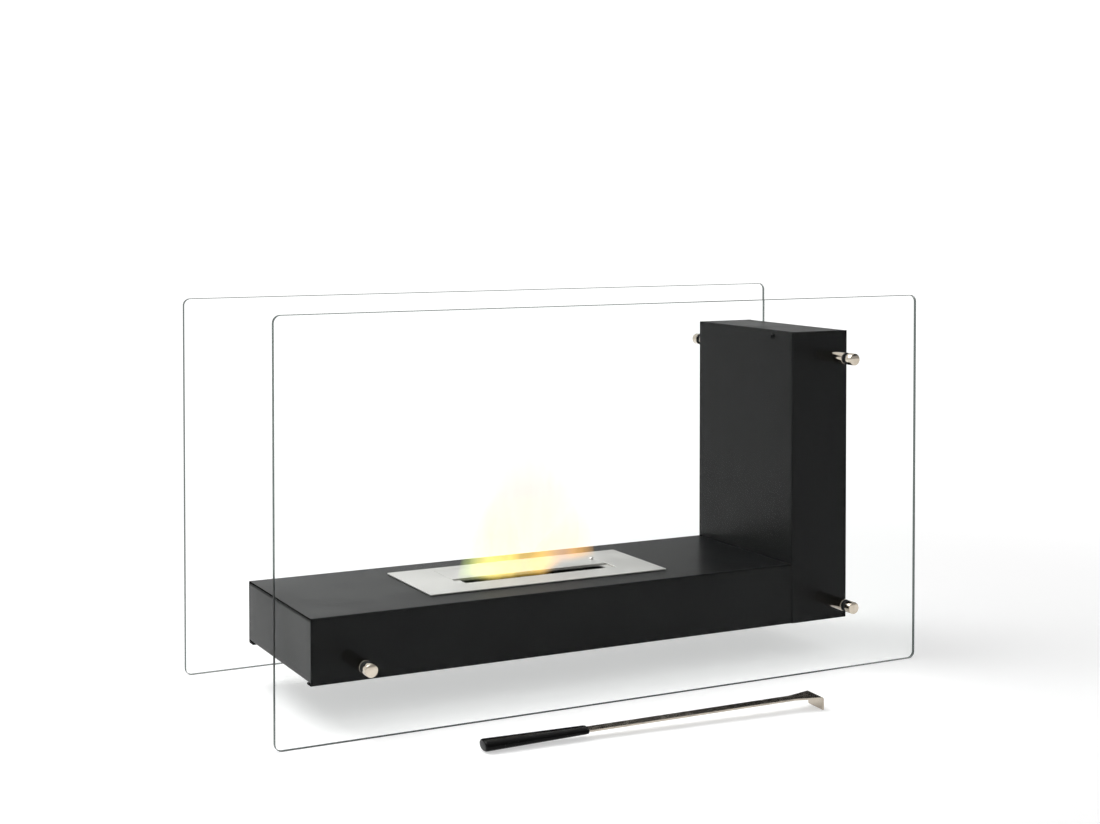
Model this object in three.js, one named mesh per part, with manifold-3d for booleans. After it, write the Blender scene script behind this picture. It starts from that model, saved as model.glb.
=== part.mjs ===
// Free-standing bioethanol fireplace. An L-shaped body of folded black sheet steel, a long low
// hearth with a column at its right end, is held by six standoffs between two glass panes that
// stand on the floor. A stainless burner with a sliding lid drops into the hearth top, and the
// loose tool that works the lid lies in front.
//
// Millimetres. +X runs along the hearth towards the column, +Y to the rear, +Z up. The origin is
// the middle of the front pane's bottom edge, on the floor.

import * as THREE from "three";
import { mergeVertices } from "three/addons/utils/BufferGeometryUtils.js";
import Module from "manifold-3d";

const wasm = await Module();
wasm.setup();

// ---------------------------------------------------------------------------------------------
// Driving dimensions
// ---------------------------------------------------------------------------------------------

// Fits
const SEAT = 0.3; // gap between two pieces that rest against each other
const SHANK_PLAY = 0.3; // radial play of a screw, stud or rivet in its hole
const LID_PLAY = 0.5; // play between the sliding lid and the window it lies in
const BURNER_PLAY = 2; // play of the burner in the cut-out of the hearth top
const CERAMIC_PLAY = 1; // play of the ceramic block and the grid in the tank
const TANG_PLAY = 0.3; // play of the tool's tang in its handle

// Glass panes
const PANE_LENGTH = 800;
const PANE_HEIGHT = 436;
const PANE_THICKNESS = 5;
const PANE_CORNER = 8; // corner radius
const PANE_ARRIS = 0.6; // ground chamfer round every edge
const PANE_HOLE = 9; // diameter of the drilled holes
const PANE_CLEARANCE = 316; // between the inner faces of the two panes

// Sheet-steel body
const BODY_LENGTH = 682;
const BODY_DEPTH = 209;
const HEARTH_HEIGHT = 71;
const COLUMN_WIDTH = 79;
const COLUMN_HEIGHT = 348;
const FLOOR_CLEARANCE = 44; // from the floor to the underside of the body
const SHEET = 2; // sheet thickness
const FOLD_RADIUS = 2.5; // outer radius of a fold
const RETURN = 14; // width of a folded-in return flange

// Rivets that join the hearth to the column
const RIVET_DIAMETER = 4.8;
const RIVET_HEAD = 9;
const RIVET_HEAD_HEIGHT = 1.4;
const RIVET_TAIL = 7;
const RIVET_TAIL_HEIGHT = 2.4;
const RIVET_SPREAD = 140; // across the depth
const RIVET_INSET = 18; // from the top and from the underside of the hearth

// Screw that holds the column's cover
const COVER_SCREW_DIAMETER = 4;
const COVER_SCREW_HEAD = 7;
const COVER_SCREW_HEAD_HEIGHT = 1.8;
const COVER_SCREW_LENGTH = 7;
const COVER_SCREW_FROM_FRONT = 42;
const COVER_SCREW_FROM_TOP = 7.5;

// Standoffs
const STANDOFF_DIAMETER = 14;
const STANDOFF_END_INSET = 40; // from the closed end of the hearth
const STANDOFF_EDGE_INSET = 28.5; // from the underside of the body, and from the column's top
const STANDOFF_EDGE = 0.8; // chamfer on a cap's outer rim
const CAP_LENGTH = 9.5;
const STUD_DIAMETER = 6; // threaded stud of a cap, and shank of a fixing screw
const STUD_REACH = 12; // length of thread inside a barrel
const TAPPED_DEPTH = 15; // depth of a barrel's tapped holes
const WASHER_THICKNESS = 1;
const SCREW_HEAD = 11;
const SCREW_HEAD_HEIGHT = 3.5;

// Burner
const BURNER_X = -38; // centre of the flange
const FLANGE_LENGTH = 301;
const FLANGE_DEPTH = 128;
const FLANGE_SHEET = 1.5; // thickness of the flange, and of the lid that lies flush in it
const FLANGE_CORNER = 1.5;
const WINDOW_LENGTH = 201.5; // opening in the flange in which the lid slides
const WINDOW_DEPTH = 78;
const WINDOW_CORNER = 1;
const WINDOW_FROM_LEFT = 52.5; // from the flange's left edge
const WINDOW_FROM_FRONT = 37; // from the flange's front edge
const TRAY_SHEET = 1.2; // thickness of the tray, the tank and the grid
const TRAY_BORDER = 6.5; // overlap of the tray, and of the tank's rim, beyond the window
const MOUTH_LENGTH = 182; // slot in the tray through which the flame rises
const MOUTH_DEPTH = 23;
const MOUTH_FROM_FRONT = 1; // from the window's front edge
const MOUTH_CORNER = 3;
const LID_DEPTH = 52;
const TANK_HEIGHT = 50;
const TANK_CORNER = 8;
const TANK_BOTTOM_RADIUS = 4;
const CERAMIC_HEIGHT = 28;
const GRID_LEG = 10;
const GRID_HOLE = 7;
const GRID_PITCH = 12;
const GRID_MARGIN = 6; // least distance from the plate's edge to the middle of a hole
const LID_STUD_DIAMETER = 6;
const LID_STUD_HEIGHT = 2.5;
const LID_STUD_SHANK = 3;
const LID_STUD_INSET = 5; // from the lid's right end

// Tool
const TOOL_LENGTH = 390;
const GRIP_LENGTH = 114;
const GRIP_BUTT_WIDTH = 22;
const GRIP_BUTT_HEIGHT = 12;
const GRIP_NOSE_WIDTH = 17.5;
const GRIP_NOSE_HEIGHT = 8;
const GRIP_BUTT_ROUND = 3; // length of the butt's rounding
const GRIP_BUTT_FLAT = 0.7; // share of the butt's width and height that is flat
const GRIP_NOSE_ROUND = 2.5;
const BAR_WIDTH = 14;
const BAR_THICKNESS = 2;
const BAR_FOLD = 3; // outer radius of the fold above the blade
const TANG_LENGTH = 60; // part of the bar inside the handle
const BLADE_WIDTH = 29;
const BLADE_HEIGHT = 14;
const FLARE_LENGTH = 28;
const TOOL_BUTT_X = -214;
const TOOL_BUTT_Y = -92;
const TOOL_HEADING = -3.5; // degrees from +X

// Fineness of round stretches
const FOLD_STEPS = 4; // steps round a quarter turn
const PANE_CORNER_STEPS = 8;
const HOLE_STEPS = 12;
const GRID_HOLE_STEPS = 8;
const TURNED_STEPS = 24;
const GRIP_STEPS = 24;

// ---------------------------------------------------------------------------------------------
// Places that follow from the sizes
// ---------------------------------------------------------------------------------------------

const paneSpacing = PANE_CLEARANCE + PANE_THICKNESS;
const bodyLeft = -BODY_LENGTH / 2;
const bodyRight = BODY_LENGTH / 2;
const columnLeft = bodyRight - COLUMN_WIDTH;
const bodyHalf = BODY_DEPTH / 2;
const innerHalf = bodyHalf - SHEET - SEAT; // half the depth of what fits between the side walls
const glassGap = (PANE_CLEARANCE - BODY_DEPTH) / 2; // from the body's face to the pane
const windowLeft = BURNER_X - FLANGE_LENGTH / 2 + WINDOW_FROM_LEFT;
const windowFront = -FLANGE_DEPTH / 2 + WINDOW_FROM_FRONT;
const windowX = windowLeft + WINDOW_LENGTH / 2;
const windowY = windowFront + WINDOW_DEPTH / 2;

const standoffPlaces = [
  { place: "lower_left", x: bodyLeft + STANDOFF_END_INSET, z: STANDOFF_EDGE_INSET },
  { place: "lower_right", x: bodyRight - COLUMN_WIDTH / 2, z: STANDOFF_EDGE_INSET },
  {
    place: "upper_right",
    x: bodyRight - COLUMN_WIDTH / 2,
    z: COLUMN_HEIGHT - STANDOFF_EDGE_INSET,
  },
];

const rivetPlaces = [-1, 1].flatMap((side) =>
  [RIVET_INSET, HEARTH_HEIGHT - RIVET_INSET].map((z) => ({ y: (side * RIVET_SPREAD) / 2, z })),
);

// ---------------------------------------------------------------------------------------------
// Finishes
// ---------------------------------------------------------------------------------------------

const finishes = {
  glass: { color: 0xf4faf8, roughness: 0.03, metalness: 0, transparent: true, opacity: 0.22 },
  blackSteel: { color: 0x24262a, roughness: 0.38, metalness: 0.2 },
  zincSteel: { color: 0x9b9ea0, roughness: 0.45, metalness: 0.9 },
  stainless: { color: 0xcfcfca, roughness: 0.28, metalness: 0.95 },
  sootedSteel: { color: 0x6a665f, roughness: 0.5, metalness: 0.8 },
  nickel: { color: 0xe6ddd0, roughness: 0.12, metalness: 1 },
  rubber: { color: 0x191919, roughness: 0.8, metalness: 0 },
  ceramic: { color: 0xe9e4da, roughness: 0.95, metalness: 0 },
  handlePlastic: { color: 0x101010, roughness: 0.2, metalness: 0 },
};

// ---------------------------------------------------------------------------------------------
// Outlines, as lists of points
// ---------------------------------------------------------------------------------------------

// Points on an arc, both ends included.
function arc(x, y, radius, from, to, steps) {
  return Array.from({ length: steps + 1 }, (_, i) => {
    const angle = from + ((to - from) * i) / steps;
    return new THREE.Vector2(x + radius * Math.cos(angle), y + radius * Math.sin(angle));
  });
}

// Outline through right-angled corners, each given as [x, y, radius].
function roundedOutline(corners, steps = FOLD_STEPS) {
  return corners.flatMap(([x, y, radius], i) => {
    const corner = new THREE.Vector2(x, y);
    if (radius === 0) return [corner];
    const towards = ([tx, ty]) => new THREE.Vector2(tx, ty).sub(corner).normalize();
    const before = towards(corners.at(i - 1));
    const after = towards(corners[(i + 1) % corners.length]);
    const centre = corner.clone().addScaledVector(before, radius).addScaledVector(after, radius);
    const turn = Math.sign(after.cross(before)) * (Math.PI / 2);
    const start = Math.atan2(-after.y, -after.x);
    return arc(centre.x, centre.y, radius, start, start + turn, steps);
  });
}

function rectangle(x0, y0, x1, y1, radius = 0, steps = FOLD_STEPS) {
  const corners = [
    [x0, y0, radius],
    [x1, y0, radius],
    [x1, y1, radius],
    [x0, y1, radius],
  ];
  return roundedOutline(corners, steps);
}

function centredRectangle(x, y, length, depth, radius = 0) {
  return rectangle(x - length / 2, y - depth / 2, x + length / 2, y + depth / 2, radius);
}

function circle(x, y, diameter, steps = HOLE_STEPS) {
  return arc(x, y, diameter / 2, 0, 2 * Math.PI, steps).slice(0, -1);
}

// Section of a folded sheet. The points follow its outer face, and the sheet lies to their left;
// every fold is a right angle to the left, with the sheet's thickness kept round the bend.
function foldedSection(points, thickness, radius) {
  const vectors = points.map(([x, y]) => new THREE.Vector2(x, y));
  const last = vectors.length - 1;
  const normals = vectors.slice(1).map((point, i) => {
    const along = point.clone().sub(vectors[i]).normalize();
    return new THREE.Vector2(-along.y, along.x);
  });
  const outer = vectors.map((point, i) => [point.x, point.y, i === 0 || i === last ? 0 : radius]);
  const inner = vectors.map((point, i) => {
    const sides = i === 0 || i === last ? [normals[Math.min(i, last - 1)]] : [normals[i - 1], normals[i]];
    const inside = sides.reduce((sum, n) => sum.addScaledVector(n, thickness), point.clone());
    return [inside.x, inside.y, sides.length === 1 ? 0 : radius - thickness];
  });
  return roundedOutline([...outer, ...inner.reverse()]);
}

// ---------------------------------------------------------------------------------------------
// Geometries
// ---------------------------------------------------------------------------------------------

const unitX = new THREE.Vector3(1, 0, 0);
const unitY = new THREE.Vector3(0, 1, 0);
const unitZ = new THREE.Vector3(0, 0, 1);

function extruded(points, holes, depth, options = {}) {
  const shape = new THREE.Shape(points);
  shape.holes = holes.map((hole) => new THREE.Path(hole));
  return new THREE.ExtrudeGeometry(shape, { depth, bevelEnabled: false, ...options });
}

// An XY outline carried upwards.
function alongZ(points, from, to, holes = []) {
  return extruded(points, holes, to - from).translate(0, 0, from);
}

// A YZ outline carried along X.
function alongX(points, from, to) {
  const turned = new THREE.Matrix4().makeBasis(unitY, unitZ, unitX);
  return extruded(points, [], to - from).applyMatrix4(turned).translate(from, 0, 0);
}

// An XZ outline carried along Y. The extrusion runs forwards, so it starts at the rear.
function alongY(points, from, to, holes = []) {
  const turned = new THREE.Matrix4().makeBasis(unitX, unitZ, unitY.clone().negate());
  return extruded(points, holes, to - from).applyMatrix4(turned).translate(0, to, 0);
}

// Round rods for drilling, along each axis.
function rodX(diameter, from, to, y, z) {
  return new THREE.CylinderGeometry(diameter / 2, diameter / 2, to - from, HOLE_STEPS)
    .rotateZ(Math.PI / 2)
    .translate((from + to) / 2, y, z);
}

function rodY(diameter, from, to, x, z) {
  return new THREE.CylinderGeometry(diameter / 2, diameter / 2, to - from, HOLE_STEPS).translate(
    x,
    (from + to) / 2,
    z,
  );
}

// A turned piece: the profile holds [radius, height] pairs and starts and ends on the Y axis.
function turned(profile, steps = TURNED_STEPS) {
  return new THREE.LatheGeometry(
    profile.map(([radius, height]) => new THREE.Vector2(radius, height)),
    steps,
  );
}

// ---------------------------------------------------------------------------------------------
// Cutting and joining
// ---------------------------------------------------------------------------------------------

function solidOf(geometry) {
  const bare = geometry.clone();
  bare.deleteAttribute("normal");
  bare.deleteAttribute("uv");
  const merged = mergeVertices(bare, 1e-4);
  return new wasm.Manifold(
    new wasm.Mesh({
      numProp: 3,
      vertProperties: merged.attributes.position.array,
      triVerts: new Uint32Array(merged.index.array),
    }),
  );
}

function geometryOf(solid) {
  const { vertProperties, triVerts } = solid.getMesh();
  const geometry = new THREE.BufferGeometry();
  geometry.setAttribute("position", new THREE.BufferAttribute(vertProperties, 3));
  geometry.setIndex(new THREE.BufferAttribute(triVerts, 1));
  const faceted = geometry.toNonIndexed();
  faceted.computeVertexNormals();
  return faceted;
}

function cut(geometry, tools) {
  const left = tools.reduce((rest, tool) => rest.subtract(solidOf(tool)), solidOf(geometry));
  return geometryOf(left);
}

function join(geometries) {
  return geometryOf(geometries.map(solidOf).reduce((sum, piece) => sum.add(piece)));
}

function common(first, second) {
  return geometryOf(solidOf(first).intersect(solidOf(second)));
}

function piece(name, geometry, finish) {
  const mesh = new THREE.Mesh(geometry, new THREE.MeshStandardMaterial(finish));
  mesh.name = name;
  return mesh;
}

function groupAt(x, y, z, pieces) {
  const group = new THREE.Group();
  group.position.set(x, y, z);
  group.add(...pieces);
  return group;
}

// ---------------------------------------------------------------------------------------------
// Glass panes
// ---------------------------------------------------------------------------------------------

// A clear pane with rounded corners, ground edges and a drilled hole at each standoff. Its own
// origin is the middle of its bottom edge.
function pane(name) {
  const holes = standoffPlaces.map(({ x, z }) => circle(x, FLOOR_CLEARANCE + z, PANE_HOLE));
  const half = PANE_LENGTH / 2;
  const outline = rectangle(-half, 0, half, PANE_HEIGHT, PANE_CORNER, PANE_CORNER_STEPS);
  const flat = extruded(outline, holes, PANE_THICKNESS - 2 * PANE_ARRIS, {
    bevelEnabled: true,
    bevelSegments: 1,
    bevelSize: PANE_ARRIS,
    bevelThickness: PANE_ARRIS,
    bevelOffset: -PANE_ARRIS,
  });
  flat.translate(0, 0, PANE_ARRIS - PANE_THICKNESS / 2).rotateX(Math.PI / 2);
  return piece(name, flat, finishes.glass);
}

// ---------------------------------------------------------------------------------------------
// Hearth. The body's own origin is the middle of its underside.
// ---------------------------------------------------------------------------------------------

const hearthRight = columnLeft - SEAT;
const onReturns = SHEET + SEAT; // level of what lies on the cover's bottom returns
const baseTop = onReturns + SHEET;
const insertTop = HEARTH_HEIGHT - SHEET - SEAT;

// Holes for the fixing screws of the standoffs, through the front and the rear wall alike.
function standoffHoles(places) {
  const diameter = STUD_DIAMETER + 2 * SHANK_PLAY;
  return places.map(({ x, z }) => rodY(diameter, -BODY_DEPTH, BODY_DEPTH, x, z));
}

function rivetHoles(from, to) {
  return rivetPlaces.map(({ y, z }) => rodX(RIVET_DIAMETER + 2 * SHANK_PLAY, from, to, y, z));
}

// Top, front and rear in one folded sheet, with a return along each bottom edge and the cut-out
// that the burner drops into.
function hearthCover() {
  const section = foldedSection(
    [
      [bodyHalf - RETURN, 0],
      [bodyHalf, 0],
      [bodyHalf, HEARTH_HEIGHT],
      [-bodyHalf, HEARTH_HEIGHT],
      [-bodyHalf, 0],
      [-bodyHalf + RETURN, 0],
    ],
    SHEET,
    FOLD_RADIUS,
  );
  const cutOut = centredRectangle(
    windowX,
    windowY,
    WINDOW_LENGTH + 2 * (TRAY_BORDER + BURNER_PLAY),
    WINDOW_DEPTH + 2 * (TRAY_BORDER + BURNER_PLAY),
    BURNER_PLAY,
  );
  return cut(alongX(section, bodyLeft, hearthRight), [
    alongZ(cutOut, HEARTH_HEIGHT - 2 * SHEET, HEARTH_HEIGHT + SHEET),
    ...standoffHoles(standoffPlaces.slice(0, 1)),
  ]);
}

// Flat base plate, welded on the returns of the cover. It starts beside the end plate's return.
function hearthBase() {
  const outline = rectangle(bodyLeft + RETURN + SEAT, -innerHalf, hearthRight, innerHalf);
  return alongZ(outline, onReturns, baseTop);
}

// A channel that closes one end of the hearth, with a return under the top and one at the bottom.
function endChannel(faceX, inwards, bottom) {
  const edge = faceX + inwards * RETURN;
  const points = [
    [edge, insertTop],
    [faceX, insertTop],
    [faceX, bottom],
    [edge, bottom],
  ];
  const section = foldedSection(inwards > 0 ? points : points.reverse(), SHEET, FOLD_RADIUS);
  return alongY(section, -innerHalf, innerHalf);
}

function hearthPieces() {
  const bulkhead = cut(
    endChannel(hearthRight, -1, baseTop + SEAT),
    rivetHoles(hearthRight - 2 * SHEET, hearthRight + SHEET),
  );
  return [
    piece("hearth_cover", hearthCover(), finishes.blackSteel),
    piece("hearth_base", hearthBase(), finishes.blackSteel),
    piece("hearth_end_plate", endChannel(bodyLeft, 1, onReturns), finishes.blackSteel),
    piece("hearth_bulkhead", bulkhead, finishes.blackSteel),
  ];
}

// ---------------------------------------------------------------------------------------------
// Column
// ---------------------------------------------------------------------------------------------

const coverScrewY = -bodyHalf + COVER_SCREW_FROM_FRONT;
const coverScrewZ = COLUMN_HEIGHT - COVER_SCREW_FROM_TOP;
const coverScrewHole = COVER_SCREW_DIAMETER + 2 * SHANK_PLAY;
const coverLeft = columnLeft + SHEET + SEAT;

// Front, inner side and rear in one folded sheet, open to the right.
function columnShell() {
  const section = foldedSection(
    [
      [bodyRight, bodyHalf],
      [columnLeft, bodyHalf],
      [columnLeft, -bodyHalf],
      [bodyRight, -bodyHalf],
    ],
    SHEET,
    FOLD_RADIUS,
  );
  return cut(alongZ(section, 0, COLUMN_HEIGHT), [
    ...standoffHoles(standoffPlaces.slice(1)),
    ...rivetHoles(columnLeft - SHEET, columnLeft + 2 * SHEET),
    rodX(coverScrewHole, columnLeft - SHEET, columnLeft + 2 * SHEET, coverScrewY, coverScrewZ),
  ]);
}

// Top, outer side and bottom in one folded sheet between the shell's walls. Its top ends in a
// return behind the shell's inner side, where the cover screw holds it.
function columnCover() {
  const section = foldedSection(
    [
      [coverLeft, 0],
      [bodyRight, 0],
      [bodyRight, COLUMN_HEIGHT],
      [coverLeft, COLUMN_HEIGHT],
      [coverLeft, COLUMN_HEIGHT - RETURN],
    ],
    SHEET,
    FOLD_RADIUS,
  );
  const hole = rodX(coverScrewHole, coverLeft - SHEET, coverLeft + 2 * SHEET, coverScrewY, coverScrewZ);
  return cut(alongY(section, -innerHalf, innerHalf), [hole]);
}

// A low-domed screw, head towards -Y before it is turned along X.
function coverScrew() {
  const shank = COVER_SCREW_DIAMETER / 2;
  const head = COVER_SCREW_HEAD / 2;
  return turned(
    [
      [0, -SEAT - COVER_SCREW_HEAD_HEIGHT],
      [0.55 * head, -SEAT - 0.85 * COVER_SCREW_HEAD_HEIGHT],
      [head, -SEAT - 0.3 * COVER_SCREW_HEAD_HEIGHT],
      [head, -SEAT],
      [shank, -SEAT],
      [shank, COVER_SCREW_LENGTH],
      [0, COVER_SCREW_LENGTH],
    ],
    HOLE_STEPS,
  );
}

// A blind rivet through the bulkhead and the column's inner side. Its own origin is the face of
// the bulkhead inside the hearth.
function joiningRivet() {
  const shank = RIVET_DIAMETER / 2;
  const grip = 2 * SHEET + 2 * SEAT;
  return turned(
    [
      [0, -SEAT - RIVET_HEAD_HEIGHT],
      [0.6 * (RIVET_HEAD / 2), -SEAT - 0.8 * RIVET_HEAD_HEIGHT],
      [RIVET_HEAD / 2, -SEAT],
      [shank, -SEAT],
      [shank, grip],
      [RIVET_TAIL / 2, grip],
      [RIVET_TAIL / 2, grip + RIVET_TAIL_HEIGHT],
      [0, grip + RIVET_TAIL_HEIGHT],
    ],
    HOLE_STEPS,
  );
}

function columnPieces() {
  const screw = piece("column_cover_screw", coverScrew(), finishes.blackSteel);
  screw.rotation.z = -Math.PI / 2;
  screw.position.set(columnLeft, coverScrewY, coverScrewZ);
  const rivets = rivetPlaces.map(({ y, z }, i) => {
    const rivet = piece(`joining_rivet_${i + 1}`, joiningRivet(), finishes.zincSteel);
    rivet.rotation.z = -Math.PI / 2;
    rivet.position.set(hearthRight - SHEET, y, z);
    return rivet;
  });
  return [
    piece("column_shell", columnShell(), finishes.blackSteel),
    piece("column_cover", columnCover(), finishes.blackSteel),
    screw,
    ...rivets,
  ];
}

// ---------------------------------------------------------------------------------------------
// Standoffs. Each one's own origin lies on the body's outer face, with +Y outwards.
// ---------------------------------------------------------------------------------------------

const barrelStart = SEAT;
const innerWasherEnd = glassGap - SEAT;
const innerWasherStart = innerWasherEnd - WASHER_THICKNESS;
const barrelEnd = innerWasherStart - SEAT;
const outerWasherStart = glassGap + PANE_THICKNESS + SEAT;
const outerWasherEnd = outerWasherStart + WASHER_THICKNESS;
const capStart = outerWasherEnd + SEAT;
const capEnd = capStart + CAP_LENGTH;
const studRadius = STUD_DIAMETER / 2;
const tappedRadius = studRadius + SHANK_PLAY;
const standoffRadius = STANDOFF_DIAMETER / 2;

// Spacer barrel with a blind tapped hole in each end.
function barrel() {
  return turned([
    [0, barrelStart + TAPPED_DEPTH],
    [tappedRadius, barrelStart + TAPPED_DEPTH],
    [tappedRadius, barrelStart],
    [standoffRadius, barrelStart],
    [standoffRadius, barrelEnd],
    [tappedRadius, barrelEnd],
    [tappedRadius, barrelEnd - TAPPED_DEPTH],
    [0, barrelEnd - TAPPED_DEPTH],
  ]);
}

// Cap with its threaded stud, which passes through the washers and the pane into the barrel.
function cap() {
  return turned([
    [0, barrelEnd - STUD_REACH],
    [studRadius, barrelEnd - STUD_REACH],
    [studRadius, capStart],
    [standoffRadius, capStart],
    [standoffRadius, capEnd - STANDOFF_EDGE],
    [standoffRadius - STANDOFF_EDGE, capEnd],
    [0, capEnd],
  ]);
}

// Rubber ring between metal and glass.
function washer(from, to) {
  return turned([
    [tappedRadius, from],
    [standoffRadius, from],
    [standoffRadius, to],
    [tappedRadius, to],
    [tappedRadius, from],
  ]);
}

// Pan-head screw that fixes the barrel from inside the body.
function fixingScrew() {
  const seat = -SHEET - SEAT;
  return turned(
    [
      [0, seat - SCREW_HEAD_HEIGHT],
      [0.7 * (SCREW_HEAD / 2), seat - SCREW_HEAD_HEIGHT],
      [SCREW_HEAD / 2, seat - 0.5 * SCREW_HEAD_HEIGHT],
      [SCREW_HEAD / 2, seat],
      [studRadius, seat],
      [studRadius, barrelStart + STUD_REACH],
      [0, barrelStart + STUD_REACH],
    ],
    HOLE_STEPS,
  );
}

function standoff(side, { place, x, z }) {
  const where = `${side}_${place}`;
  const outwards = side === "rear" ? 1 : -1;
  const group = groupAt(x, outwards * bodyHalf, z, [
    piece(`standoff_screw_${where}`, fixingScrew(), finishes.zincSteel),
    piece(`standoff_barrel_${where}`, barrel(), finishes.nickel),
    piece(`inner_washer_${where}`, washer(innerWasherStart, innerWasherEnd), finishes.rubber),
    piece(`outer_washer_${where}`, washer(outerWasherStart, outerWasherEnd), finishes.rubber),
    piece(`standoff_cap_${where}`, cap(), finishes.nickel),
  ]);
  group.rotation.z = side === "rear" ? 0 : Math.PI;
  return group;
}

// ---------------------------------------------------------------------------------------------
// Burner. Its own origin is at the body's middle, level with the hearth's top face.
// ---------------------------------------------------------------------------------------------

const flangeTop = SEAT + FLANGE_SHEET;
const rimTop = -TRAY_SHEET - SEAT;
const tankBottom = rimTop - TANK_HEIGHT;
const ceramicBottom = tankBottom + TRAY_SHEET + SEAT;
const ceramicTop = ceramicBottom + CERAMIC_HEIGHT;
const gridBottom = ceramicTop + SEAT;
const tankInsideLength = WINDOW_LENGTH - 2 * TRAY_SHEET;
const tankInsideDepth = WINDOW_DEPTH - 2 * TRAY_SHEET;
const mouthY = windowFront + MOUTH_FROM_FRONT + MOUTH_DEPTH / 2;

// Stainless plate with the window that the lid lies in.
function burnerFlange() {
  const edge = centredRectangle(BURNER_X, 0, FLANGE_LENGTH, FLANGE_DEPTH, FLANGE_CORNER);
  const window = centredRectangle(windowX, windowY, WINDOW_LENGTH, WINDOW_DEPTH, WINDOW_CORNER);
  return alongZ(edge, SEAT, flangeTop, [window]);
}

// Plate welded under the flange: the floor that the lid slides on, with the mouth for the flame.
function burnerTray() {
  const edge = centredRectangle(
    windowX,
    windowY,
    WINDOW_LENGTH + 2 * TRAY_BORDER,
    WINDOW_DEPTH + 2 * TRAY_BORDER,
    BURNER_PLAY,
  );
  const mouth = centredRectangle(windowX, mouthY, MOUTH_LENGTH, MOUTH_DEPTH, MOUTH_CORNER);
  return alongZ(edge, -TRAY_SHEET, 0, [mouth]);
}

// A box with rounded upright corners and a rounded bottom edge, open towards the top.
function pressedBox(length, depth, bottom, top, corner, bottomRadius) {
  const block = extruded(
    centredRectangle(windowX, windowY, length, depth, corner),
    [],
    top - bottom,
    {
      bevelEnabled: true,
      bevelSegments: FOLD_STEPS,
      bevelSize: bottomRadius,
      bevelThickness: bottomRadius,
      bevelOffset: -bottomRadius,
    },
  );
  return block.translate(0, 0, bottom + bottomRadius);
}

// Pressed fuel tank with a flat rim.
function burnerTank() {
  const rim = centredRectangle(
    windowX,
    windowY,
    WINDOW_LENGTH + 2 * TRAY_BORDER,
    WINDOW_DEPTH + 2 * TRAY_BORDER,
    BURNER_PLAY,
  );
  const outside = pressedBox(
    WINDOW_LENGTH,
    WINDOW_DEPTH,
    tankBottom,
    rimTop,
    TANK_CORNER,
    TANK_BOTTOM_RADIUS,
  );
  const inside = pressedBox(
    tankInsideLength,
    tankInsideDepth,
    tankBottom + TRAY_SHEET,
    rimTop + TRAY_SHEET,
    TANK_CORNER - TRAY_SHEET,
    TANK_BOTTOM_RADIUS - TRAY_SHEET,
  );
  const above = centredRectangle(windowX, windowY, 2 * WINDOW_LENGTH, 2 * WINDOW_DEPTH);
  return cut(join([outside, alongZ(rim, rimTop - TRAY_SHEET, rimTop)]), [
    inside,
    alongZ(above, rimTop, rimTop + 4 * TANK_BOTTOM_RADIUS),
  ]);
}

// Absorbent ceramic block that soaks up the fuel.
function ceramicBlock() {
  const outline = centredRectangle(
    windowX,
    windowY,
    tankInsideLength - 2 * CERAMIC_PLAY,
    tankInsideDepth - 2 * CERAMIC_PLAY,
    TANK_CORNER,
  );
  const lift = TANK_BOTTOM_RADIUS - TRAY_SHEET; // the lower edge clears the tank's rounded bottom
  const block = alongZ(outline, ceramicBottom, ceramicTop);
  const edge = centredRectangle(windowX, windowY, 2 * WINDOW_LENGTH, 2 * WINDOW_DEPTH);
  const foot = centredRectangle(
    windowX,
    windowY,
    tankInsideLength - 2 * (CERAMIC_PLAY + lift),
    tankInsideDepth - 2 * (CERAMIC_PLAY + lift),
    TANK_CORNER - lift,
  );
  return cut(block, [alongZ(edge, ceramicBottom - lift, ceramicBottom + lift, [foot])]);
}

// Places of the grid's holes along one side of its plate, evenly about the middle.
function holePlaces(side) {
  const count = Math.floor((side - 2 * GRID_MARGIN) / GRID_PITCH) + 1;
  return Array.from({ length: count }, (_, i) => (i - (count - 1) / 2) * GRID_PITCH);
}

// Perforated grid over the ceramic block: a sheet that stands on its two folded legs.
function wickGrid() {
  const length = tankInsideLength - 2 * (CERAMIC_PLAY + TANK_CORNER);
  const depth = tankInsideDepth - 2 * CERAMIC_PLAY;
  const section = foldedSection(
    [
      [depth / 2, 0],
      [depth / 2, GRID_LEG],
      [-depth / 2, GRID_LEG],
      [-depth / 2, 0],
    ],
    TRAY_SHEET,
    FOLD_RADIUS,
  );
  const holes = holePlaces(length).flatMap((x) =>
    holePlaces(depth).map((y) => {
      const outline = circle(x, y, GRID_HOLE, GRID_HOLE_STEPS);
      return alongZ(outline, GRID_LEG - 2 * TRAY_SHEET, GRID_LEG + TRAY_SHEET);
    }),
  );
  const grid = cut(alongX(section, -length / 2, length / 2), holes);
  return grid.translate(windowX, windowY, gridBottom);
}

const lidLeft = windowLeft + LID_PLAY;
const lidRight = windowLeft + WINDOW_LENGTH - LID_PLAY;
const lidRear = windowFront + WINDOW_DEPTH - LID_PLAY;
const lidStudX = lidRight - LID_STUD_INSET;
const lidStudY = lidRear - LID_DEPTH / 2;

// Flat lid, shown slid back with the mouth open. It lies flush in the flange's window.
function sliderLid() {
  const outline = rectangle(lidLeft, lidRear - LID_DEPTH, lidRight, lidRear, WINDOW_CORNER);
  const hole = circle(lidStudX, lidStudY, LID_STUD_SHANK + 2 * SHANK_PLAY);
  return alongZ(outline, SEAT, flangeTop, [hole]);
}

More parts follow.
